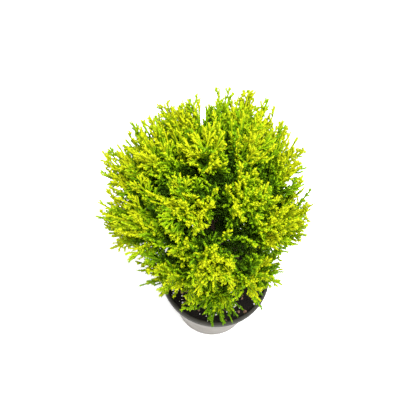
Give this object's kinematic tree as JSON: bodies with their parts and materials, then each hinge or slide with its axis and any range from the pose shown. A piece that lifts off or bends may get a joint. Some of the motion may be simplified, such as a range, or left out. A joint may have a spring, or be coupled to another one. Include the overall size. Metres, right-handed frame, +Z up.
{
  "type": "potted lemon cypress",
  "caption": "Young golden lemon cypress with a full, egg-shaped crown of feathery upright sprays, in a tapered round nursery pot with a rolled lip.",
  "frame": {"origin": "centre of the pot's flat underside", "axes": "+Z up along the pot's axis and the trunk; -Y is the plant's front, the side the picture was taken from; +X is to its right"},
  "size_m": [0.2215, 0.2174, 0.4255],
  "materials": {
    "pot": "satin",
    "potting_mix": "matte",
    "bark": "matte",
    "foliage": "matte"
  },
  "bodies": {
    "root": {"bough_low_1": "bark", "bough_low_2": "bark", "bough_low_3": "bark", "bough_low_4": "bark", "bough_low_5": "bark", "bough_low_6": "bark", "bough_middle_1": "bark", "bough_middle_2": "bark", "bough_middle_3": "bark", "bough_middle_4": "bark", "bough_middle_5": "bark", "bough_middle_6": "bark", "bough_middle_7": "bark", "bough_wide_1": "bark", "bough_wide_2": "bark", "bough_wide_3": "bark", "bough_wide_4": "bark", "bough_wide_5": "bark", "bough_wide_6": "bark", "bough_wide_7": "bark", "foliage_crest_1": "foliage", "foliage_crest_2": "foliage", "foliage_crest_3": "foliage", "foliage_crest_4": "foliage", "foliage_crest_5": "foliage", "foliage_leader": "foliage", "foliage_low_1": "foliage", "foliage_low_2": "foliage", "foliage_low_3": "foliage", "foliage_low_4": "foliage", "foliage_low_5": "foliage", "foliage_low_6": "foliage", "foliage_middle_1": "foliage", "foliage_middle_2": "foliage", "foliage_middle_3": "foliage", "foliage_middle_4": "foliage", "foliage_middle_5": "foliage", "foliage_middle_6": "foliage", "foliage_middle_7": "foliage", "foliage_skirt_1": "foliage", "foliage_skirt_2": "foliage", "foliage_skirt_3": "foliage", "foliage_skirt_4": "foliage", "foliage_upper_1": "foliage", "foliage_upper_2": "foliage", "foliage_upper_3": "foliage", "foliage_upper_4": "foliage", "foliage_upper_5": "foliage", "foliage_upper_6": "foliage", "foliage_upper_7": "foliage", "foliage_wide_1": "foliage", "foliage_wide_2": "foliage", "foliage_wide_3": "foliage", "foliage_wide_4": "foliage", "foliage_wide_5": "foliage", "foliage_wide_6": "foliage", "foliage_wide_7": "foliage", "pot": "pot", "potting_mix": "potting_mix", "trunk": "bark"}
  },
  "joints": []
}
